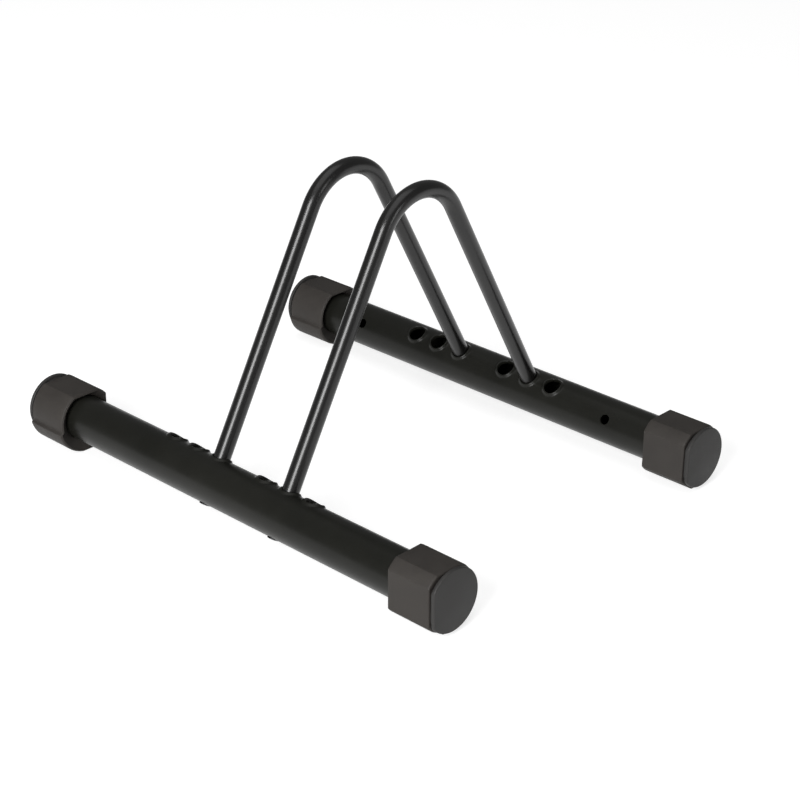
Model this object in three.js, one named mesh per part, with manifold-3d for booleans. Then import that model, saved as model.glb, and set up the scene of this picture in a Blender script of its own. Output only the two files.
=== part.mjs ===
// Floor bike rack: two drilled base tubes, two splayed hoops bolted into them, and a moulded foot and
// an end plug on each tube end. A wheel rolls in along X and stands between the two hoops.
// Millimetres, +Z up, origin on the floor under the middle of the rack. The base tubes run along Y.
import * as THREE from 'three';
import { mergeVertices } from 'three/addons/utils/BufferGeometryUtils.js';
import Module from 'manifold-3d';

const wasm = await Module();
wasm.setup();

// ---------------------------------------------------------------- driving dimensions

const rackLength = 460; // end face to end face, along Y
const track = 300; // between the axes of the base tubes, along X
const clearance = 0.3; // left between pieces that touch

const tubeDiameter = 38;
const tubeWall = 1.5;

const hoopTubeDiameter = 14;
const hoopTubeWall = 1.5;
const legSplay = 29; // degrees each leg leans in from the vertical
const bendRadius = 45; // centreline radius of the hoop's bend

const hoopHoleDiameter = 14.8;
const holePitch = 26; // the hoop holes lie at whole steps of it from the tube's middle
const holeSteps = [-3, -2, -1, 1, 2, 3];
const frontHoopStep = -2; // the holes that the hoops stand in
const rearHoopStep = 1;

const collarHeight = 1.6; // drawn rim round each hoop hole, above the tube's surface
const collarWidth = 2.3; // from the hole's edge to the foot of the rim
const collarSides = 16;

const sideHoleDiameter = 8.5; // fixing hole near each end of the inner side
const sideHoleFromMiddle = 140;
const sideHoleTilt = 60; // degrees from straight up, towards the other tube

const footLength = 40.5; // moulded foot, along the tube
const footRadius = 26.8;
const footWall = 2; // at the side flat, where the foot is thinnest
const topFlatWall = 4.3;
const padDrop = 2.1; // floor face of the foot's pad, below the round body
const padRise = 2.6; // round edge of the pad, outside the round body
const padEnd = 347; // degrees round the foot at which the pad steps down to the round body
const footChamfer = 2;

const plugDiameter = 51.2; // end plug's visible disc
const plugDiscThickness = 3.2;
const plugCrown = 1; // rise of the disc's domed face
const plugNeckDiameter = 46;
const plugNeckLength = 1.8; // the dark groove between disc and foot
const plugFlatInset = 0.4; // the disc's flat lies this far inside the foot's side flat
const plugFlatGroove = 1.3; // depth of the groove along that flat
const plugSpigotLength = 18;
const plugWall = 2.4;
const plugFins = 2;

const boltDiameter = 6;
const boltLength = 20;
const boltHeadDiameter = 11;
const boltHeadHeight = 2.2;
const boltSocketAcrossFlats = 4;
const boltSocketDepth = 1.4;
const insertLength = 18;

// ---------------------------------------------------------------- worked-out sizes

const tubeRadius = tubeDiameter / 2;
const tubeBore = tubeRadius - tubeWall;
const hoopRadius = hoopTubeDiameter / 2;
const hoopBore = hoopRadius - hoopTubeWall;
const hoopHoleRadius = hoopHoleDiameter / 2;
const boltRadius = boltDiameter / 2;
const footBore = tubeRadius + clearance;
const sideFlat = footBore + footWall; // distances of the foot's flats from the tube's axis
const topFlat = footBore + topFlatWall;
const padFlat = footRadius + padDrop;
const padRadius = footRadius + padRise;
const axisHeight = padFlat;
const splay = THREE.MathUtils.degToRad(legSplay);

const crownTip = plugCrown + plugDiscThickness + plugNeckLength + clearance;
const footOuterEnd = rackLength / 2 - crownTip;
const footInnerEnd = footOuterEnd - footLength;
const tubeLength = 2 * (footOuterEnd - clearance);

// A leg points straight at the tube's axis and stops just short of the far side of its bore.
const legEnd = Math.sqrt(tubeBore ** 2 - hoopRadius ** 2) - clearance;
const bendCentreRise = (track / 2 * Math.cos(splay) - bendRadius) / Math.sin(splay);
const bendCentreHeight = axisHeight + bendCentreRise;

const sides = [
  { name: 'left', sign: -1 },
  { name: 'right', sign: 1 },
];
const ends = [
  { name: 'front', turn: 0, hoopAt: frontHoopStep * holePitch },
  { name: 'rear', turn: Math.PI, hoopAt: rearHoopStep * holePitch },
];

// ---------------------------------------------------------------- materials, one for each piece

const finishes = {
  tubePaint: { color: 0x2a2a2b, roughness: 0.42, metalness: 0.3 },
  hoopPaint: { color: 0x222224, roughness: 0.16, metalness: 0.3 },
  footMoulding: { color: 0x46423e, roughness: 0.62, metalness: 0 },
  plugMoulding: { color: 0x444444, roughness: 0.58, metalness: 0 },
  boltZinc: { color: 0x8d8f92, roughness: 0.38, metalness: 0.9 },
  insertSteel: { color: 0x77777a, roughness: 0.5, metalness: 0.9 },
};
const finish = (name) => new THREE.MeshStandardMaterial(finishes[name]);

// ---------------------------------------------------------------- solids

// Turns a closed geometry into a solid, with its shared vertices merged and its faces outward.
function solid(geometry) {
  const bare = geometry.clone();
  bare.deleteAttribute('normal');
  bare.deleteAttribute('uv');
  const merged = mergeVertices(bare);
  const vertProperties = new Float32Array(merged.attributes.position.array);
  const faces = [];
  let volume = 0;
  const corner = [new THREE.Vector3(), new THREE.Vector3(), new THREE.Vector3()];
  for (let i = 0; i < merged.index.count; i += 3) {
    const face = [0, 1, 2].map((k) => merged.index.getX(i + k));
    if (new Set(face).size < 3) continue;
    faces.push(face);
    face.forEach((vertex, k) => corner[k].fromArray(vertProperties, vertex * 3));
    volume += corner[0].dot(corner[1].cross(corner[2]));
  }
  const outward = volume > 0 ? faces : faces.map(([a, b, c]) => [a, c, b]);
  const triVerts = new Uint32Array(outward.flat());
  return new wasm.Manifold(new wasm.Mesh({ numProp: 3, vertProperties, triVerts }));
}

function pieceMesh(name, body, finishName) {
  const { vertProperties, triVerts } = body.getMesh();
  const geometry = new THREE.BufferGeometry();
  geometry.setAttribute('position', new THREE.BufferAttribute(new Float32Array(vertProperties), 3));
  geometry.setIndex(new THREE.BufferAttribute(new Uint32Array(triVerts), 1));
  geometry.computeVertexNormals();
  const mesh = new THREE.Mesh(geometry, finish(finishName));
  mesh.name = name;
  return mesh;
}

// Revolves [radius, height] points about Z.
function revolved(points, segments) {
  const profile = points.map(([radius, height]) => new THREE.Vector2(radius, height));
  return solid(new THREE.LatheGeometry(profile, segments).rotateX(Math.PI / 2));
}

// A round cutter that starts on the tube's axis (Z) and leaves it at an angle from +X, at height z.
function radialCutter(radius, angle, z, segments) {
  const reach = 2 * tubeRadius;
  const cylinder = new THREE.CylinderGeometry(radius, radius, reach, segments);
  cylinder.translate(0, reach / 2, 0);
  cylinder.rotateZ(angle - Math.PI / 2);
  cylinder.translate(0, 0, z);
  return solid(cylinder);
}

// ---------------------------------------------------------------- base tube

// The drawn rim round a hoop hole. Its section is swept round the hole's axis, and every point keeps
// its height over the curved tube, so the rim is saddle-shaped as a pierced and drawn rim is.
function drawnCollar(angle, z) {
  const inside = hoopHoleRadius - 0.5;
  const foot = hoopHoleRadius + collarWidth;
  const below = -tubeWall / 2;
  const section = [
    [inside, below],
    [inside, collarHeight * 0.95],
    [hoopHoleRadius + collarWidth * 0.3, collarHeight],
    [hoopHoleRadius + collarWidth * 0.66, collarHeight * 0.45],
    [foot, 0],
    [foot, below],
  ];
  const positions = [];
  const index = [];
  for (let i = 0; i < collarSides; i += 1) {
    const turn = (i / collarSides) * 2 * Math.PI;
    for (const [radius, height] of section) {
      const along = radius * Math.cos(turn);
      const across = radius * Math.sin(turn);
      const out = Math.sqrt((tubeRadius + height) ** 2 - across ** 2);
      positions.push(out, across, along);
    }
    for (let j = 0; j < section.length; j += 1) {
      const nextRing = ((i + 1) % collarSides) * section.length;
      const nextPoint = (j + 1) % section.length;
      const a = i * section.length + j;
      const b = i * section.length + nextPoint;
      const c = nextRing + nextPoint;
      const d = nextRing + j;
      index.push(a, b, c, a, c, d);
    }
  }
  const geometry = new THREE.BufferGeometry();
  geometry.setAttribute('position', new THREE.Float32BufferAttribute(positions, 3));
  geometry.setIndex(index);
  geometry.rotateZ(angle);
  geometry.translate(0, 0, z);
  return solid(geometry);
}

// Built along Z and laid down along Y. The holes lie on the line of the legs.
function baseTube(sign) {
  const half = tubeLength / 2;
  const legAngle = Math.PI / 2 + sign * splay;
  const sideAngle = Math.PI / 2 + sign * THREE.MathUtils.degToRad(sideHoleTilt);
  const wall = [[tubeBore, -half], [tubeRadius, -half], [tubeRadius, half], [tubeBore, half], [tubeBore, -half]];
  let body = revolved(wall, 32);
  for (const step of holeSteps) {
    const z = -step * holePitch;
    body = body.add(drawnCollar(legAngle, z));
    body = body.subtract(radialCutter(hoopHoleRadius, legAngle, z, collarSides));
    body = body.subtract(radialCutter(boltRadius + clearance, legAngle + Math.PI, z, 10));
  }
  for (const end of [-1, 1]) {
    body = body.subtract(radialCutter(sideHoleDiameter / 2, sideAngle, end * sideHoleFromMiddle, 12));
  }
  return body;
}

// ---------------------------------------------------------------- hoop

// Centreline of a hoop in the XZ plane: a straight leg, one round bend and the other leg. Its steps
// are spread evenly over the bend, with one step for each straight leg.
class HoopPath extends THREE.Curve {
  constructor(bendSteps) {
    super();
    this.steps = bendSteps + 2;
    this.bendSteps = bendSteps;
    const foot = new THREE.Vector3(track / 2, 0, axisHeight);
    const rise = new THREE.Vector3(-Math.sin(splay), 0, Math.cos(splay));
    this.legFoot = foot.addScaledVector(rise, -legEnd);
  }

  bendAngle(step) {
    const along = THREE.MathUtils.clamp((step - 1) / this.bendSteps, 0, 1);
    return splay + along * (Math.PI - 2 * splay);
  }

  getPointAt(u, target = new THREE.Vector3()) {
    const step = u * this.steps;
    const angle = this.bendAngle(step);
    target.set(bendRadius * Math.cos(angle), 0, bendCentreHeight + bendRadius * Math.sin(angle));
    if (step < 1) target.lerp(this.legFoot, 1 - step);
    if (step > this.steps - 1) {
      const otherFoot = this.legFoot.clone().setX(-this.legFoot.x);
      target.lerp(otherFoot, step - this.steps + 1);
    }
    return target;
  }

  getTangentAt(u, target = new THREE.Vector3()) {
    const angle = this.bendAngle(u * this.steps);
    return target.set(-Math.sin(angle), 0, Math.cos(angle));
  }
}

function hoop() {
  const section = new THREE.Shape().absarc(0, 0, hoopRadius, 0, 2 * Math.PI);
  section.holes.push(new THREE.Path().absarc(0, 0, hoopBore, 0, 2 * Math.PI, true));
  const path = new HoopPath(14);
  const options = { steps: path.steps, curveSegments: 7, extrudePath: path };
  return solid(new THREE.ExtrudeGeometry(section, options));
}

// ---------------------------------------------------------------- moulded foot

const onCircle = (radius, angle) => [radius * Math.cos(angle), radius * Math.sin(angle)];
const halfWidthOfFlat = (distance, radius) => Math.acos(distance / radius);

// Section of the foot, seen from its closed end: a round body with a deep flat on one side, a shallow
// one on top and a pad at the bottom, whose flat stands on the floor. The pad's round edge runs up the
// other side and ends there in a step. All four feet are the same moulding.
function footSection() {
  const shape = new THREE.Shape();
  const quarter = Math.PI / 2;
  const top = halfWidthOfFlat(topFlat, footRadius);
  const side = halfWidthOfFlat(sideFlat, footRadius);
  const pad = halfWidthOfFlat(padFlat, padRadius);
  const padStep = THREE.MathUtils.degToRad(padEnd);
  const padSide = padRadius * Math.sin(pad);
  const padSideAngle = 3 * quarter - Math.asin(padSide / footRadius);
  shape.moveTo(...onCircle(footRadius, quarter + top));
  shape.absarc(0, 0, footRadius, quarter + top, 2 * quarter - side);
  shape.absarc(0, 0, footRadius, 2 * quarter + side, padSideAngle);
  shape.lineTo(-padSide, -padFlat);
  shape.absarc(0, 0, padRadius, 3 * quarter + pad, padStep);
  shape.absarc(0, 0, footRadius, padStep, 5 * quarter - top);
  shape.closePath();
  return shape;
}

// Extruded along Z from the open end, with both ends' edges chamfered and a bore for the tube.
function foot() {
  const options = { depth: footLength, bevelEnabled: false, curveSegments: 4 };
  const block = solid(new THREE.ExtrudeGeometry(footSection(), options));
  const beyond = padRadius + 1;
  const rim = footRadius - footChamfer;
  const chamfered = [
    [0, 0],
    [rim, 0],
    [beyond, beyond - rim],
    [beyond, footLength - 1],
    [padRadius - 1, footLength],
    [0, footLength],
  ];
  const mouth = footBore + 1;
  const opening = [[0, -1], [mouth + 1, -1], [footBore, 1], [footBore, footLength + 1], [0, footLength + 1]];
  return block.intersect(revolved(chamfered, 36)).subtract(revolved(opening, 36));
}

// ---------------------------------------------------------------- end plug

// Revolved about Z: a hollow finned spigot in the tube, a narrow neck and a domed disc. The disc and
// the neck have a flat in line with the foot's side flat.
function endPlug() {
  const disc = plugDiameter / 2;
  const neck = plugNeckDiameter / 2;
  const spigot = tubeBore - clearance;
  const shoulder = footLength + clearance;
  const back = shoulder + plugNeckLength;
  const face = back + plugDiscThickness;
  const start = shoulder - plugSpigotLength;
  const finPitch = plugSpigotLength / (plugFins + 1);
  const round = 1;
  const points = [[0, shoulder - plugWall], [spigot - plugWall, shoulder - plugWall], [spigot - plugWall, start]];
  for (let i = 0; i < plugFins; i += 1) {
    const height = start + i * finPitch;
    points.push([spigot - 0.8, height], [spigot, height + 1], [spigot - 0.8, height + 1.2]);
  }
  points.push([spigot - 0.8, shoulder], [neck, shoulder], [neck, back]);
  points.push([disc - round / 2, back], [disc, back + round / 2]);
  points.push([disc, face - round], [disc - 0.3 * round, face - 0.3 * round], [disc - round, face]);
  points.push([disc * 0.5, face + plugCrown * 0.75], [0, face + plugCrown]);
  const beyondFlat = (distance, low, high) => {
    const block = new THREE.BoxGeometry(disc, 2 * plugDiameter, high - low);
    return solid(block.translate(-distance - disc / 2, 0, (low + high) / 2));
  };
  const discFlat = sideFlat - plugFlatInset;
  return revolved(points, 20)
    .subtract(beyondFlat(discFlat, back - clearance, face + 2 * plugCrown))
    .subtract(beyondFlat(discFlat - plugFlatGroove, shoulder, back));
}

// ---------------------------------------------------------------- leg fixings

// Revolved about Z, which is the leg's axis, with its zero where the leg's line meets the tube's axis.
function legBolt() {
  const under = -tubeRadius - 0.05;
  const head = boltHeadDiameter / 2;
  const edge = boltHeadHeight * 0.3;
  const crown = boltHeadHeight - edge;
  const tip = under + boltLength;
  const dome = [1, 0.92, 0.7, 0.38, 0].map((share, i) => [head * Math.sin(i * Math.PI / 8), -crown * share]);
  const points = dome.map(([radius, height]) => [radius, under - edge + height]);
  points.push([head, under], [boltRadius, under], [boltRadius, tip - 0.8], [boltRadius - 0.8, tip], [0, tip]);
  const socketRadius = boltSocketAcrossFlats / 2 / Math.cos(Math.PI / 6);
  const socket = new THREE.CylinderGeometry(socketRadius, socketRadius, boltSocketDepth * 2, 6);
  socket.rotateX(Math.PI / 2);
  socket.translate(0, 0, under - boltHeadHeight);
  return revolved(points, 12).subtract(solid(socket));
}

// The threaded plug pressed into the leg's end.
function legInsert() {
  const outside = hoopBore - clearance;
  const bore = boltRadius + clearance;
  const low = -legEnd + clearance;
  const high = low + insertLength;
  const groove = 0.4;
  const middle = (low + high) / 2;
  const points = [
    [bore, low],
    [outside - groove, low],
    [outside, low + groove],
    [outside, middle],
    [outside - groove, middle + groove],
    [outside, high - groove],
    [outside - groove, high],
    [bore, high],
    [bore, low],
  ];
  return revolved(points, 12);
}

// ---------------------------------------------------------------- assembly

const rack = new THREE.Group();

for (const { name, sign } of sides) {
  const tube = pieceMesh(`base_tube_${name}`, baseTube(sign), 'tubePaint');
  tube.position.set(sign * track / 2, 0, axisHeight);
  tube.rotation.x = Math.PI / 2;
  rack.add(tube);
}

for (const { name, hoopAt } of ends) {
  const bar = pieceMesh(`hoop_${name}`, hoop(), 'hoopPaint');
  bar.position.y = hoopAt;
  rack.add(bar);
}

for (const side of sides) {
  for (const end of ends) {
    const place = `${end.name}_${side.name}`;

    // A rear foot is a front one turned about the vertical.
    const tubeEnd = new THREE.Group();
    tubeEnd.position.set(side.sign * track / 2, 0, axisHeight);
    tubeEnd.rotation.z = end.turn;
    const moulding = pieceMesh(`foot_${place}`, foot(), 'footMoulding');
    const plug = pieceMesh(`end_plug_${place}`, endPlug(), 'plugMoulding');
    for (const piece of [moulding, plug]) {
      piece.position.y = -footInnerEnd;
      piece.rotation.x = Math.PI / 2;
      tubeEnd.add(piece);
    }
    rack.add(tubeEnd);

    const leg = new THREE.Group();
    leg.position.set(side.sign * track / 2, end.hoopAt, axisHeight);
    leg.rotation.y = -side.sign * splay;
    leg.add(pieceMesh(`leg_bolt_${place}`, legBolt(), 'boltZinc'));
    leg.add(pieceMesh(`leg_insert_${place}`, legInsert(), 'insertSteel'));
    rack.add(leg);
  }
}

export default rack;
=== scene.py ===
# Floor bike rack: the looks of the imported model. Metres, +Z up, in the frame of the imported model.
import math

import bmesh
import bpy
from mathutils import Matrix, Vector
from mathutils.geometry import delaunay_2d_cdt

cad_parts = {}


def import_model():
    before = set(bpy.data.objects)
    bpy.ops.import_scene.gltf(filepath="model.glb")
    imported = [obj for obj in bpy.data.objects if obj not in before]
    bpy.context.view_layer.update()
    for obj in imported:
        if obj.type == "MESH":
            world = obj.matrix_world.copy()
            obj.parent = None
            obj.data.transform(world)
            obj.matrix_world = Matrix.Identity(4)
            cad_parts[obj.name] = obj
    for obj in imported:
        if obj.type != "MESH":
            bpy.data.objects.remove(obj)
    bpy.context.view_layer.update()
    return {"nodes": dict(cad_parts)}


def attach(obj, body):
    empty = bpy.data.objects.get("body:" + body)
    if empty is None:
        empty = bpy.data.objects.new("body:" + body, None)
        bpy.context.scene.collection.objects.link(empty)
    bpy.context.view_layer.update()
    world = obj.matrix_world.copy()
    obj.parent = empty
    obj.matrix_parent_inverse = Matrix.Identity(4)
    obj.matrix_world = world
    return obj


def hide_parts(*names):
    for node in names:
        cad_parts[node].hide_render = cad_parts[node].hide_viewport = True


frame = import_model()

MM = 0.001
TAU = 2 * math.pi
SIDES = {"left": -1, "right": 1}
ENDS = {"front": -1, "rear": 1}

# ------------------------------------------------------------------ sizes (mm)

# As in the model, but for the values that have a comment of their own.
TRACK = 300
TUBE_R = 19
TUBE_WALL = 1.5
HOOP_R = 7
HOOP_WALL = 1.5
SPLAY = math.radians(29)
BEND_R = 45
HOLE_R = 7.4
HOLE_PITCH = 26
HOLE_STEPS = (-3, -2, -1, 1, 2, 3)
HOOP_STEP = {"front": -2, "rear": 1}
BOLT_HOLE_R = 3.3
COLLAR_HEIGHT = 1.6
# The drawn rim is 0.6 mm wider than the model's, so that it runs out softly.
COLLAR_WIDTH = 2.9
# From the hole's edge to the rim's crest.
COLLAR_INWARD = 0.7
SIDE_HOLE_R = 4.25
SIDE_HOLE_FROM_MIDDLE = 140
SIDE_HOLE_TILT = math.radians(60)
FOOT_R = 26.8
FOOT_BORE = 19.3
SIDE_FLAT, TOP_FLAT = 21.3, 23.6
PAD_FLAT, PAD_R = 28.9, 29.4
PAD_END = math.radians(347)
FOOT_LENGTH = 40.5
FOOT_START = 183.2
PLUG_R = 25.6
PLUG_FLAT = 20.9
PLUG_NECK_R = 23
PLUG_NECK_FLAT = 19.6
PLUG_NECK = 1.8
PLUG_DISC = 3.2
PLUG_CROWN = 1
PLUG_SPIGOT = 18
PLUG_WALL = 2.4
# The hidden spigot has three fins, where the model has two.
FINS = 3
FIN_DEPTH = 0.8
FIN_PITCH = 5
# Disc and foot have rounded edges, and the foot a flared mouth, where the model has chamfers.
PLUG_FRONT_ROUND = 1.2
PLUG_BACK_ROUND = 0.9
MOUTH_DEPTH = 5
LIP_WIDTH = 1.95
CHAMFER = 1.0
CHAMFER_EDGE = 0.4
FOOT_END_ROUND = 1.5
CORNER_ROUND = 1.0
BOLT_R = 3
# The head is lower and smaller than the model's, because the photograph leaves no room for more,
# and its socket is smaller with it.
BOLT_HEAD_R = 5.2
BOLT_HEAD_HEIGHT = 1
BOLT_SOCKET = 1.5
BOLT_SOCKET_DEPTH = 1.4
BOLT_LENGTH = 20
# The thread is drawn as rings.
THREAD_PITCH = 1
THREAD_DEPTH = 0.35
GAP = 0.3
# The model's crest is faceted and so a little lower than a true circle's.
CREST_SHY = 0.2

AXIS_HEIGHT = PAD_FLAT
TUBE_BORE = TUBE_R - TUBE_WALL
LEG_END = math.sqrt(TUBE_BORE ** 2 - HOOP_R ** 2) - GAP
BEND_HEIGHT = AXIS_HEIGHT + (TRACK / 2 * math.cos(SPLAY) - BEND_R) / math.sin(SPLAY)
TUBE_HALF = FOOT_START + FOOT_LENGTH - GAP


# ------------------------------------------------------------------ mesh helpers

def finished_mesh(name, bm, material, node, sharp=math.radians(30)):
    """Turns a bmesh in millimetres into a smooth-shaded piece that stands for a CAD node."""
    bmesh.ops.remove_doubles(bm, verts=bm.verts, dist=1e-4)
    bmesh.ops.recalc_face_normals(bm, faces=bm.faces)
    bm.transform(Matrix.Scale(MM, 4))
    for face in bm.faces:
        face.smooth = True
    for edge in bm.edges:
        edge.smooth = edge.calc_face_angle(0) < sharp
    mesh = bpy.data.meshes.new(name)
    bm.to_mesh(mesh)
    bm.free()
    mesh.materials.append(material)
    piece = bpy.data.objects.new(name, mesh)
    bpy.context.collection.objects.link(piece)
    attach(piece, "root")
    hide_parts(node)


def bridge_loops(bm, loops, closed=True):
    """Quads between neighbouring rings of vertices, and from last to first if closed."""
    nexts = loops[1:] + loops[:1] if closed else loops[1:]
    for ring, following in zip(loops, nexts):
        count = len(ring)
        for i in range(count):
            j = (i + 1) % count
            bm.faces.new((ring[i], ring[j], following[j], following[i]))


def arc_points(cx, cy, radius, start, end, steps):
    """Points of an arc in a profile, start and end in degrees."""
    for i in range(steps + 1):
        angle = math.radians(start + (end - start) * i / steps)
        yield (cx + radius * math.cos(angle), cy + radius * math.sin(angle))


# ------------------------------------------------------------------ hoop

def hoop(end, material):
    """A bent tube swept along two straight legs and one round bend."""
    around, bend_steps, leg_steps = 48, 64, 12
    y = HOOP_STEP[end] * HOLE_PITCH
    stations = []
    up_leg = Vector((-math.sin(SPLAY), 0, math.cos(SPLAY)))
    foot = Vector((TRACK / 2, y, AXIS_HEIGHT)) - LEG_END * up_leg
    for i in range(bend_steps + 1):
        angle = SPLAY + (math.pi - 2 * SPLAY) * i / bend_steps
        outward = Vector((math.cos(angle), 0, math.sin(angle)))
        stations.append((Vector((0, y, BEND_HEIGHT)) + BEND_R * outward, outward))
    first, last = stations[0], stations[-1]
    other = Vector((-foot.x, y, foot.z))
    right_leg = [(foot.lerp(first[0], i / leg_steps), first[1]) for i in range(leg_steps)]
    left_leg = [(last[0].lerp(other, (i + 1) / leg_steps), last[1]) for i in range(leg_steps)]
    stations = right_leg + stations + left_leg
    bm = bmesh.new()

    def ring(station, radius):
        centre, outward = station
        side = Vector((0, 1, 0))
        turns = [TAU * i / around for i in range(around)]
        reaches = [math.cos(t) * outward + math.sin(t) * side for t in turns]
        return [bm.verts.new(centre + radius * reach) for reach in reaches]

    outer = [ring(station, HOOP_R) for station in stations]
    inner = [ring(station, HOOP_R - HOOP_WALL) for station in reversed(stations)]
    bridge_loops(bm, outer + inner)
    bm.transform(Matrix.Translation((0, 0, -CREST_SHY)))
    finished_mesh(f"bar_{end}", bm, material, f"hoop_{end}")


# ------------------------------------------------------------------ base tube

def collar_height(radius):
    """Height of the drawn rim over the tube, at a distance from the hole's axis."""
    crest = HOLE_R + COLLAR_INWARD
    if radius < crest:
        share = (crest - radius) / COLLAR_INWARD
        return COLLAR_HEIGHT - COLLAR_INWARD * (1 - math.sqrt(max(0, 1 - share ** 2)))
    share = min(1, (radius - crest) / (COLLAR_WIDTH - COLLAR_INWARD))
    return COLLAR_HEIGHT * 0.5 * (1 + math.cos(math.pi * share ** 0.85))


def flush(radius):
    """Height of a plain hole's edge over the tube."""
    return 0


def plain_hole(angle, y, radius, margin):
    """A hole without a rim, as tube_skin() takes it."""
    return (angle, y, [radius, radius + margin], flush)


def tube_skin(bm, radius, holes, columns, rows, seam):
    """One skin of the base tube, unrolled, triangulated round its holes and rolled up again.
    Each hole is (angle, y, list of ring radii, height function). Returns each hole's edge ring."""
    ring_sides = 48
    margin, tolerance = 0.5, 1e-5
    points, edges, place = [], [], []
    rims, rim_of = [], {}
    for hole, (angle, y, radii, height) in enumerate(holes):
        for k, r in enumerate(radii):
            start = len(points)
            for i in range(ring_sides):
                turn = TAU * i / ring_sides
                across, along = r * math.sin(turn), r * math.cos(turn)
                reach = radius + height(r)
                bend = math.asin(across / reach)
                flat = (angle + bend - seam) % TAU
                points.append(Vector((flat * radius, y + along)))
                place.append((angle + bend, y + along, reach))
            edges += [(start + i, start + (i + 1) % ring_sides) for i in range(ring_sides)]
            if k == 0:
                rims.append(start)
                rim_of.update((start + i, hole) for i in range(ring_sides))

    def near_a_hole(turn, row):
        for angle, y, radii, _ in holes:
            offset = (seam + turn - angle + math.pi) % TAU - math.pi
            across = radius * math.sin(offset)
            if abs(offset) < math.pi / 2 and math.hypot(across, row - y) < radii[-1] + margin:
                return True
        return False

    for row in rows:
        for column in range(columns + 1):
            turn = TAU * column / columns
            if not near_a_hole(turn, row):
                points.append(Vector((turn * radius, row)))
                place.append((seam + turn, row, radius))
    _, _, faces, origin, _, _ = delaunay_2d_cdt(points, edges, [], 0, tolerance)
    made = []
    for sources in origin:
        turn, y, reach = place[sources[0]]
        made.append(bm.verts.new((reach * math.cos(turn), y, reach * math.sin(turn))))
    where = {sources[0]: i for i, sources in enumerate(origin)}
    # A face whose corners all lie on one hole's edge covers that hole, so it is left out.
    for face in faces:
        corners = {rim_of.get(origin[i][0]) for i in face}
        if len(corners) > 1 or None in corners:
            bm.faces.new([made[i] for i in face])
    return [[made[where[start + i]] for i in range(ring_sides)] for start in rims]


def base_tube(side, material):
    """An open tube with rimmed hoop holes, opposite bolt holes and a side hole near each end."""
    sign = SIDES[side]
    leg_angle = math.pi / 2 + sign * SPLAY
    side_angle = math.pi / 2 + sign * SIDE_HOLE_TILT
    # The skin is unrolled from a line that no hole crosses.
    seam = leg_angle + math.pi / 2
    rim_steps = (0, 0.08, 0.22, 0.42, 0.7, 1.0, 1.3, 1.6, 1.9, 2.2, 2.5, COLLAR_WIDTH)
    rim_radii = [HOLE_R + 0.02 + step for step in rim_steps]
    outer, inner = [], []
    for step in HOLE_STEPS:
        y = step * HOLE_PITCH
        bolt_hole = plain_hole(leg_angle + math.pi, y, BOLT_HOLE_R, 0.5)
        outer += [(leg_angle, y, rim_radii, collar_height), bolt_hole]
        inner += [plain_hole(leg_angle, y, HOLE_R, 1), bolt_hole]
    for end in ENDS.values():
        side_hole = plain_hole(side_angle, end * SIDE_HOLE_FROM_MIDDLE, SIDE_HOLE_R, 0.5)
        outer.append(side_hole)
        inner.append(side_hole)
    row_steps = 90
    rows = [TUBE_HALF * (-1 + 2 * i / row_steps) for i in range(row_steps + 1)]
    bm = bmesh.new()
    outer_rims = tube_skin(bm, TUBE_R, outer, columns=96, rows=rows, seam=seam)
    inner_rims = tube_skin(bm, TUBE_BORE, inner, columns=48, rows=rows[::3], seam=seam)
    for outside, inside in zip(outer_rims, inner_rims):
        bridge_loops(bm, [outside, inside], closed=False)
    bmesh.ops.remove_doubles(bm, verts=bm.verts, dist=1e-4)
    for end in (1, -1):
        open_edges = [edge for edge in bm.edges if edge.is_boundary]
        at_this_end = [edge for edge in open_edges if end * edge.verts[0].co.y > 0]
        bmesh.ops.bridge_loops(bm, edges=at_this_end)
    bm.transform(Matrix.Translation((sign * TRACK / 2, 0, AXIS_HEIGHT)))
    node, sharp = f"base_tube_{side}", math.radians(40)
    finished_mesh(f"tube_{side}", bm, material, node, sharp)


# ------------------------------------------------------------------ foot

def foot_outline():
    """Section of a front foot about the tube's axis: a round body, a side flat, a top flat and a
    pad. The pad ends in a step that slopes a little, because the bore would merge a radial one."""
    quarter = math.pi / 2
    arc_step, step_slope = math.radians(2.5), math.radians(2)
    top, side = math.acos(TOP_FLAT / FOOT_R), math.acos(SIDE_FLAT / FOOT_R)
    pad = math.acos(PAD_FLAT / PAD_R)
    pad_side = PAD_R * math.sin(pad)

    def arc(radius, start, end):
        steps = max(2, round((end - start) / arc_step))
        turns = [start + (end - start) * i / steps for i in range(steps + 1)]
        return [radius * Vector((math.cos(turn), math.sin(turn))) for turn in turns]

    points = arc(FOOT_R, quarter + top, 2 * quarter - side)
    points += arc(FOOT_R, 2 * quarter + side, 3 * quarter - math.asin(pad_side / FOOT_R))
    points += [Vector((-pad_side, -PAD_FLAT))]
    points += arc(PAD_R, 3 * quarter + pad, PAD_END)
    points += arc(FOOT_R, PAD_END + step_slope, 5 * quarter - top)
    return points


def rounded(points, radius, steps=4, least=math.radians(12)):
    """The outline with its corners rounded."""
    result = []
    count = len(points)
    for i, corner in enumerate(points):
        before, after = points[i - 1] - corner, points[(i + 1) % count] - corner
        turn = math.pi - before.angle(after)
        if turn < least:
            result.append(corner)
            continue
        reach = min(radius * math.tan(turn / 2), before.length * 0.45, after.length * 0.45)
        start, end = corner + before.normalized() * reach, corner + after.normalized() * reach
        for k in range(steps + 1):
            t = k / steps
            result.append(start * (1 - t) ** 2 + corner * 2 * t * (1 - t) + end * t ** 2)
    return result


def densified(points, longest):
    """The outline with its long straight stretches split up."""
    result = []
    for i, point in enumerate(points):
        following = points[(i + 1) % len(points)]
        parts = max(1, math.ceil((following - point).length / longest))
        result += [point.lerp(following, k / parts) for k in range(parts)]
    return result


def inset(points, distance):
    """The outline moved toward the tube's axis."""
    return [point - distance * point.normalized() for point in points]


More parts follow.
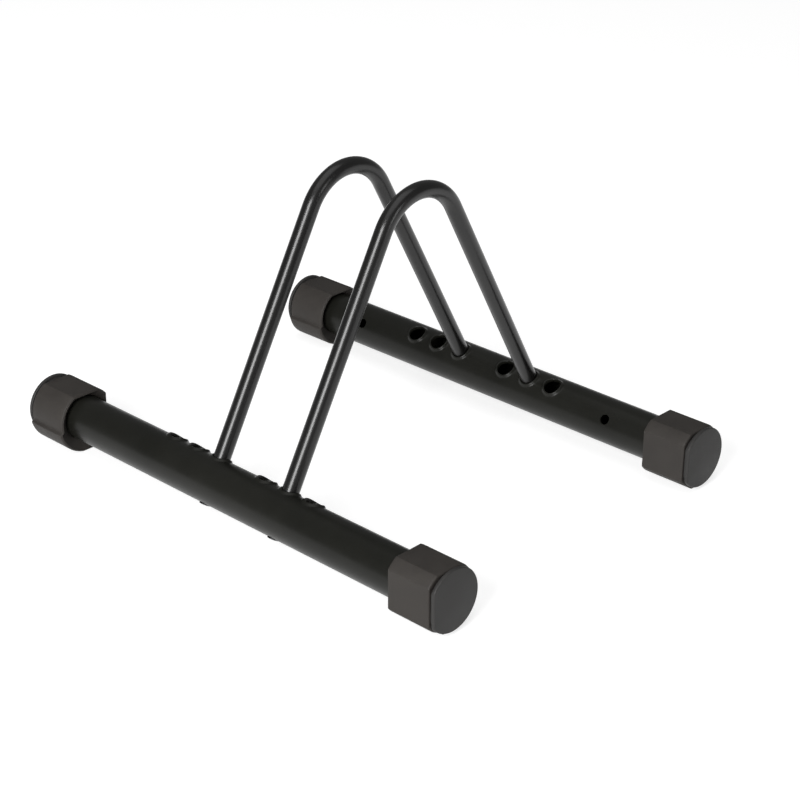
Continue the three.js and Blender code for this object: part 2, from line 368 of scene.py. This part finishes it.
def foot(side, end, material):
    """A moulding with a flared mouth round the tube and rounded edges at both ends."""
    bm = bmesh.new()
    outline = densified(rounded(foot_outline(), CORNER_ROUND), longest=2.0)
    bore = [point.normalized() * FOOT_BORE for point in outline]
    loops = []

    def ring(points, height):
        return [bm.verts.new((p.x, p.y, height)) for p in points]

    def between(distance, share):
        return [a.lerp(b, share) for a, b in zip(bore, inset(outline, distance))]

    def rounded_edge(radius, depth, start, angles):
        """Rings of a quarter round from a height up, which ends a depth inside the outline."""
        for turn in (math.radians(angle) for angle in angles):
            reach, height = depth + radius * (1 - math.sin(turn)), radius * (1 - math.cos(turn))
            loops.append(ring(inset(outline, reach), start + height))

    for share in (0, 0.3, 0.6, 0.85, 1):
        loops.append(ring(between(LIP_WIDTH, share), MOUTH_DEPTH - (MOUTH_DEPTH - 0.5) * share))
    loops.append(ring(inset(outline, LIP_WIDTH - 0.1), 0.15))
    loops.append(ring(inset(outline, LIP_WIDTH - 0.3), 0))
    rounded_edge(CHAMFER_EDGE, CHAMFER, 0, (0, 45, 90))
    rounded_edge(CHAMFER, 0, CHAMFER_EDGE, (30, 60, 90))
    # Rings along the plain body.
    for height in (6, 12, 20, 28, 34):
        loops.append(ring(outline, height))
    for turn in (math.radians(angle) for angle in (0, 22, 45, 68, 90)):
        reach = FOOT_END_ROUND * (1 - math.cos(turn))
        height = FOOT_LENGTH - FOOT_END_ROUND * (1 - math.sin(turn))
        loops.append(ring(inset(outline, reach), height))
    loops.append(ring(between(FOOT_END_ROUND, 0.5), FOOT_LENGTH))
    loops += [ring(bore, FOOT_LENGTH), ring(bore, FOOT_LENGTH / 2)]
    bridge_loops(bm, loops)
    place_on_tube_end(bm, side, end)
    name, node = f"foot_moulding_{end}_{side}", f"foot_{end}_{side}"
    finished_mesh(name, bm, material, node)


def place_on_tube_end(bm, side, end):
    """Moves a piece built along +Z, from the foot's open end, to its place on a tube's end."""
    lay = Matrix.Rotation(math.pi / 2, 4, "X")
    turn = Matrix.Rotation(math.pi if end == "rear" else 0, 4, "Z")
    centre = Matrix.Translation((SIDES[side] * TRACK / 2, 0, AXIS_HEIGHT))
    bm.transform(centre @ turn @ Matrix.Translation((0, -FOOT_START, 0)) @ lay)


# ------------------------------------------------------------------ end plug

def flatted_ring(radius, flat, around):
    """Points of a circle, with a flat on its -X side if one is given. The power that joins the two
    rounds the corners slightly."""
    sharpness = 60
    for i in range(around):
        turn = TAU * i / around
        reach = radius
        if flat is not None and math.cos(turn) < 0:
            straight = -flat / math.cos(turn)
            reach = (radius ** -sharpness + straight ** -sharpness) ** (-1 / sharpness)
        yield reach * math.cos(turn), reach * math.sin(turn)


def end_plug(side, end, material):
    """A hollow finned spigot in the tube, the neck seen as a dark groove, and the domed disc."""
    shoulder = FOOT_LENGTH + GAP
    back = shoulder + PLUG_NECK
    face = back + PLUG_DISC
    spigot = TUBE_BORE - GAP
    hollow = spigot - PLUG_WALL
    start = shoulder - PLUG_SPIGOT
    floor_height = shoulder - PLUG_WALL
    between_fins = spigot - FIN_DEPTH
    around = 160
    # Each ring is (radius, distance of its flat or None, height).
    rings = [(2, None, floor_height), (hollow, None, floor_height), (hollow, None, start)]
    for fin in range(FINS):
        height = start + fin * FIN_PITCH
        rings += [(between_fins, None, height), (spigot - 0.05, None, height + 1)]
        rings.append((between_fins, None, height + 1.3))
    rings.append((between_fins, None, shoulder))
    rings.append((PLUG_NECK_R - 0.15, PLUG_NECK_FLAT - 0.15, shoulder))
    rings.append((PLUG_NECK_R, PLUG_NECK_FLAT, shoulder + 0.15))
    rings.append((PLUG_NECK_R, PLUG_NECK_FLAT, back))
    small, big = PLUG_BACK_ROUND, PLUG_FRONT_ROUND
    edges = list(arc_points(PLUG_R - small, back + small, small, -90, 0, 4))
    edges += arc_points(PLUG_R - big, face - big, big, 0, 86, 8)
    rings += [(radius, PLUG_FLAT + radius - PLUG_R, height) for radius, height in edges]
    rim, rim_flat, _ = rings[-1]
    for share in (0.93, 0.84, 0.72, 0.58, 0.43, 0.28, 0.14, 0.05):
        rings.append((rim * share, rim_flat * share, face + PLUG_CROWN * (1 - share ** 2)))
    bm = bmesh.new()
    loops = [[bm.verts.new((x, y, height)) for x, y in flatted_ring(radius, flat, around)]
             for radius, flat, height in rings]
    bridge_loops(bm, loops, closed=False)
    bm.faces.new(reversed(loops[-1]))
    bm.faces.new(loops[0])
    place_on_tube_end(bm, side, end)
    name, node = f"plug_{end}_{side}", f"end_plug_{end}_{side}"
    finished_mesh(name, bm, material, node)


# ------------------------------------------------------------------ leg bolt

def leg_bolt(side, end, material):
    """A low-headed bolt with a hexagonal socket, from the tube's underside up into the leg."""
    around = 48
    under = -TUBE_R - 0.05
    top = under - BOLT_HEAD_HEIGHT
    turns = [TAU * i / around for i in range(around)]

    def circle(radius, height):
        return [(radius * math.cos(t), radius * math.sin(t), height) for t in turns]

    def hexagon(apothem, height):
        reach = [apothem / math.cos((t + math.pi / 6) % (math.pi / 3) - math.pi / 6) for t in turns]
        return [(r * math.cos(t), r * math.sin(t), height) for r, t in zip(reach, turns)]

    rings = [hexagon(BOLT_SOCKET, top + BOLT_SOCKET_DEPTH), hexagon(BOLT_SOCKET, top + 0.15)]
    rings.append(hexagon(BOLT_SOCKET + 0.12, top))
    for share in (0.5, 0.65, 0.78, 0.88, 0.94, 0.98, 1):
        dome = 0.25 + 0.75 * math.sqrt(1 - share ** 2)
        rings.append(circle(BOLT_HEAD_R * share, under - BOLT_HEAD_HEIGHT * dome))
    rings += [circle(BOLT_HEAD_R, under), circle(BOLT_R, under)]
    for thread in range(round((BOLT_LENGTH - 2) / THREAD_PITCH)):
        height = under + 1 + thread * THREAD_PITCH
        rings += [circle(BOLT_R, height), circle(BOLT_R - THREAD_DEPTH, height + 0.45)]
    tip = under + BOLT_LENGTH
    rings += [circle(BOLT_R - 0.1, tip - 1), circle(BOLT_R - 0.8, tip)]
    bm = bmesh.new()
    loops = [[bm.verts.new(point) for point in ring] for ring in rings]
    bridge_loops(bm, loops, closed=False)
    bm.faces.new(loops[0])
    bm.faces.new(reversed(loops[-1]))
    centre = (SIDES[side] * TRACK / 2, HOOP_STEP[end] * HOLE_PITCH, AXIS_HEIGHT)
    bm.transform(Matrix.Translation(centre) @ Matrix.Rotation(-SIDES[side] * SPLAY, 4, "Y"))
    name, node = f"bolt_{end}_{side}", f"leg_bolt_{end}_{side}"
    finished_mesh(name, bm, material, node)


# ------------------------------------------------------------------ materials

def new_material(name):
    """A Principled material and the texture coordinates that its textures start from."""
    material = bpy.data.materials.new(name)
    material.use_nodes = True
    tree = material.node_tree
    shader = tree.nodes["Principled BSDF"]
    coordinates = tree.nodes.new("ShaderNodeTexCoord")
    return material, tree, shader, coordinates


def noise(tree, coordinates, scale, detail=4, roughness=0.5):
    node = tree.nodes.new("ShaderNodeTexNoise")
    node.inputs["Scale"].default_value = scale
    node.inputs["Detail"].default_value = detail
    node.inputs["Roughness"].default_value = roughness
    tree.links.new(coordinates.outputs["Object"], node.inputs["Vector"])
    return node


def ranged(tree, source, low, high, start=0.3, end=0.7):
    """The middle of a noise, spread from low to high."""
    node = tree.nodes.new("ShaderNodeMapRange")
    node.inputs["From Min"].default_value = start
    node.inputs["From Max"].default_value = end
    node.inputs["To Min"].default_value = low
    node.inputs["To Max"].default_value = high
    tree.links.new(source, node.inputs["Value"])
    return node.outputs["Result"]


def tinted(tree, source, dark, light):
    """A colour that drifts between two tones as a noise does."""
    ramp = tree.nodes.new("ShaderNodeValToRGB")
    for stop, position, colour in zip(ramp.color_ramp.elements, (0.35, 0.65), (dark, light)):
        stop.position = position
        stop.color = (*colour, 1)
    tree.links.new(source, ramp.inputs["Fac"])
    return ramp.outputs["Color"]


def bumped(tree, shader, layers):
    """Bump nodes in a chain: (height output, strength, distance in metres)."""
    normal = None
    for height, strength, distance in layers:
        node = tree.nodes.new("ShaderNodeBump")
        node.inputs["Strength"].default_value = strength
        node.inputs["Distance"].default_value = distance
        tree.links.new(height, node.inputs["Height"])
        if normal:
            tree.links.new(normal, node.inputs["Normal"])
        normal = node.outputs["Normal"]
    tree.links.new(normal, shader.inputs["Normal"])


def paint(name, dark, light, rough, peel, specular, coat=0.0):
    """Black paint on steel: faint colour drift, uneven gloss and a fine orange peel."""
    material, tree, shader, coordinates = new_material(name)
    shader.inputs["Specular IOR Level"].default_value = specular
    drift = noise(tree, coordinates, scale=14, detail=3)
    gloss = noise(tree, coordinates, scale=60, detail=5, roughness=0.6)
    skin = noise(tree, coordinates, scale=900, detail=2)
    dust = noise(tree, coordinates, scale=2600, detail=2)
    tree.links.new(tinted(tree, drift.outputs["Fac"], dark, light), shader.inputs["Base Color"])
    tree.links.new(ranged(tree, gloss.outputs["Fac"], *rough), shader.inputs["Roughness"])
    shader.inputs["Coat Weight"].default_value = coat
    shader.inputs["Coat Roughness"].default_value = 0.2
    dust_strength = peel * 0.4
    bumped(tree, shader, [(skin.outputs["Fac"], peel, 0.0002),
                          (dust.outputs["Fac"], dust_strength, 0.0001)])
    return material


def moulding(name, dark, light, rough):
    """Moulded plastic: a fine spark-eroded grain, with soft patches that are a little glossier."""
    material, tree, shader, coordinates = new_material(name)
    shader.inputs["Specular IOR Level"].default_value = 0.3
    patch = noise(tree, coordinates, scale=40, detail=4, roughness=0.6)
    grain = noise(tree, coordinates, scale=1600, detail=3, roughness=0.7)
    pits = tree.nodes.new("ShaderNodeTexVoronoi")
    pits.inputs["Scale"].default_value = 1300
    tree.links.new(coordinates.outputs["Object"], pits.inputs["Vector"])
    tree.links.new(tinted(tree, patch.outputs["Fac"], dark, light), shader.inputs["Base Color"])
    tree.links.new(ranged(tree, patch.outputs["Fac"], *rough), shader.inputs["Roughness"])
    bumped(tree, shader, [(grain.outputs["Fac"], 0.35, 0.0003),
                          (pits.outputs["Distance"], 0.2, 0.0002)])
    return material


def steel(name, dark, light, rough):
    """Bare or plated steel: a fine grain and a mottled surface."""
    material, tree, shader, coordinates = new_material(name)
    mottle = noise(tree, coordinates, scale=300, detail=5, roughness=0.6)
    lines = noise(tree, coordinates, scale=1800, detail=2)
    tree.links.new(tinted(tree, mottle.outputs["Fac"], dark, light), shader.inputs["Base Color"])
    tree.links.new(ranged(tree, mottle.outputs["Fac"], *rough), shader.inputs["Roughness"])
    shader.inputs["Metallic"].default_value = 1.0
    bumped(tree, shader, [(lines.outputs["Fac"], 0.25, 0.0001)])
    return material


tube_paint = paint(
    "tube_paint", dark=(0.0062, 0.0064, 0.0050), light=(0.0098, 0.0098, 0.0080),
    rough=(0.30, 0.38), peel=0.10, specular=0.2)
hoop_paint = paint(
    "hoop_paint", dark=(0.0025, 0.0024, 0.0023), light=(0.0042, 0.0040, 0.0038),
    rough=(0.30, 0.34), peel=0.04, specular=0.34, coat=0.3)
foot_plastic = moulding(
    "foot_moulding", dark=(0.0225, 0.0195, 0.0172), light=(0.0295, 0.026, 0.023),
    rough=(0.55, 0.68))
plug_plastic = moulding(
    "plug_moulding", dark=(0.0215, 0.0208, 0.020), light=(0.027, 0.026, 0.025),
    rough=(0.50, 0.62))
bolt_zinc = steel(
    "bolt_zinc", dark=(0.035, 0.035, 0.037), light=(0.06, 0.06, 0.062), rough=(0.35, 0.5))
insert_steel = steel(
    "insert_steel", dark=(0.28, 0.28, 0.29), light=(0.38, 0.38, 0.39), rough=(0.4, 0.5))


# ------------------------------------------------------------------ pieces

for side in SIDES:
    base_tube(side, tube_paint)
    for end in ENDS:
        foot(side, end, foot_plastic)
        end_plug(side, end, plug_plastic)
        leg_bolt(side, end, bolt_zinc)
for end in ENDS:
    hoop(end, hoop_paint)

# The inserts keep the model's mesh, with its edges softened.
for node, piece in frame["nodes"].items():
    if node.startswith("leg_insert"):
        piece.data.materials.clear()
        piece.data.materials.append(insert_steel)
        softened = piece.modifiers.new("edges", "BEVEL")
        softened.width = 0.15 * MM
        softened.segments = 2
        softened.limit_method = "ANGLE"
        softened.angle_limit = math.radians(35)


# ------------------------------------------------------------------ camera

# The photograph's camera, solved from the edges of the object. Its place is in mm.
IMAGE_SIZE = 800
FOCAL_PX = 1988.97
SENSOR_WIDTH = 36
CAMERA_AT = (-1050.2, -1022.6, 750.7 + AXIS_HEIGHT)
CAMERA_TURN = math.radians(-46.718)
CAMERA_RISE = math.radians(26.280)
CAMERA_ROLL = math.radians(0.332)


def camera():
    """The camera in the photograph's place, with its roll."""
    data = bpy.data.cameras.new("camera")
    data.sensor_width = SENSOR_WIDTH
    data.sensor_fit = "HORIZONTAL"
    data.lens = FOCAL_PX / IMAGE_SIZE * SENSOR_WIDTH
    data.clip_start, data.clip_end = 0.05, 60
    eye = bpy.data.objects.new("camera", data)
    bpy.context.collection.objects.link(eye)
    back = Vector((math.sin(CAMERA_TURN) * math.cos(CAMERA_RISE),
                   -math.cos(CAMERA_TURN) * math.cos(CAMERA_RISE),
                   math.sin(CAMERA_RISE)))
    right = Vector((0, 0, 1)).cross(back).normalized()
    up = back.cross(right)
    lean, rise = math.cos(CAMERA_ROLL), math.sin(CAMERA_ROLL)
    right, up = lean * right + rise * up, lean * up - rise * right
    attitude = Matrix((right, up, back)).transposed().to_4x4()
    eye.matrix_world = Matrix.Translation(Vector(CAMERA_AT) * MM) @ attitude
    bpy.context.scene.camera = eye


# ------------------------------------------------------------------ studio (metres)

# Strength of the world's light. A strength or radiance of 1 is white.
SKY = 0.22
FLOOR_SIZE = 12
FLOOR_COLOUR = 0.5
# Added to the floor where the camera, a glossy or a transmitted ray sees it.
FLOOR_GLOW = 0.7
MIDDLE = (0, 0, 0.1)


def floor():
    """A plain pale floor that looks white where no shadow falls on it."""
    bm = bmesh.new()
    bmesh.ops.create_grid(bm, x_segments=1, y_segments=1, size=FLOOR_SIZE)
    mesh = bpy.data.meshes.new("studio_floor")
    bm.to_mesh(mesh)
    bm.free()
    plane = bpy.data.objects.new("studio_floor", mesh)
    bpy.context.collection.objects.link(plane)
    material, tree, shader, _ = new_material("studio_floor")
    shader.inputs["Base Color"].default_value = (FLOOR_COLOUR, FLOOR_COLOUR, FLOOR_COLOUR, 1)
    shader.inputs["Roughness"].default_value = 1.0
    shader.inputs["Specular IOR Level"].default_value = 0.0
    shader.inputs["Emission Color"].default_value = (1, 1, 1, 1)
    ray = tree.nodes.new("ShaderNodeLightPath")
    glow = ray.outputs["Is Camera Ray"]
    for other in ("Is Glossy Ray", "Is Transmission Ray"):
        either = tree.nodes.new("ShaderNodeMath")
        either.operation = "MAXIMUM"
        tree.links.new(glow, either.inputs[0])
        tree.links.new(ray.outputs[other], either.inputs[1])
        glow = either.outputs["Value"]
    scaled = tree.nodes.new("ShaderNodeMath")
    scaled.operation = "MULTIPLY"
    scaled.inputs[1].default_value = FLOOR_GLOW
    tree.links.new(glow, scaled.inputs[0])
    tree.links.new(scaled.outputs["Value"], shader.inputs["Emission Strength"])
    mesh.materials.append(material)


def world():
    """A plain white world."""
    sky = bpy.data.worlds.new("studio")
    bpy.context.scene.world = sky
    sky.use_nodes = True
    background = sky.node_tree.nodes["Background"]
    background.inputs["Color"].default_value = (1, 1, 1, 1)
    background.inputs["Strength"].default_value = SKY


def softbox(name, at, aim, size, radiance):
    """A rectangular lamp whose face has the given brightness, where 1 is white."""
    data = bpy.data.lights.new(name, "AREA")
    data.shape = "RECTANGLE"
    data.size, data.size_y = size
    data.energy = radiance * math.pi * size[0] * size[1]
    lamp = bpy.data.objects.new(name, data)
    bpy.context.collection.objects.link(lamp)
    lamp.location = at
    lamp.rotation_euler = (Vector(aim) - Vector(at)).to_track_quat("-Z", "Y").to_euler()


camera()
floor()
world()
softbox("overhead", at=(-0.6, -0.2, 5.0), aim=MIDDLE, size=(5.0, 5.0), radiance=1.1)
softbox("left", at=(-2.12, -0.65, 0.98), aim=MIDDLE, size=(0.95, 1.6), radiance=15.0)
softbox("right", at=(0.3, -2.4, 0.8), aim=MIDDLE, size=(0.4, 1.0), radiance=5.0)

bpy.context.scene.view_settings.view_transform = "Standard"
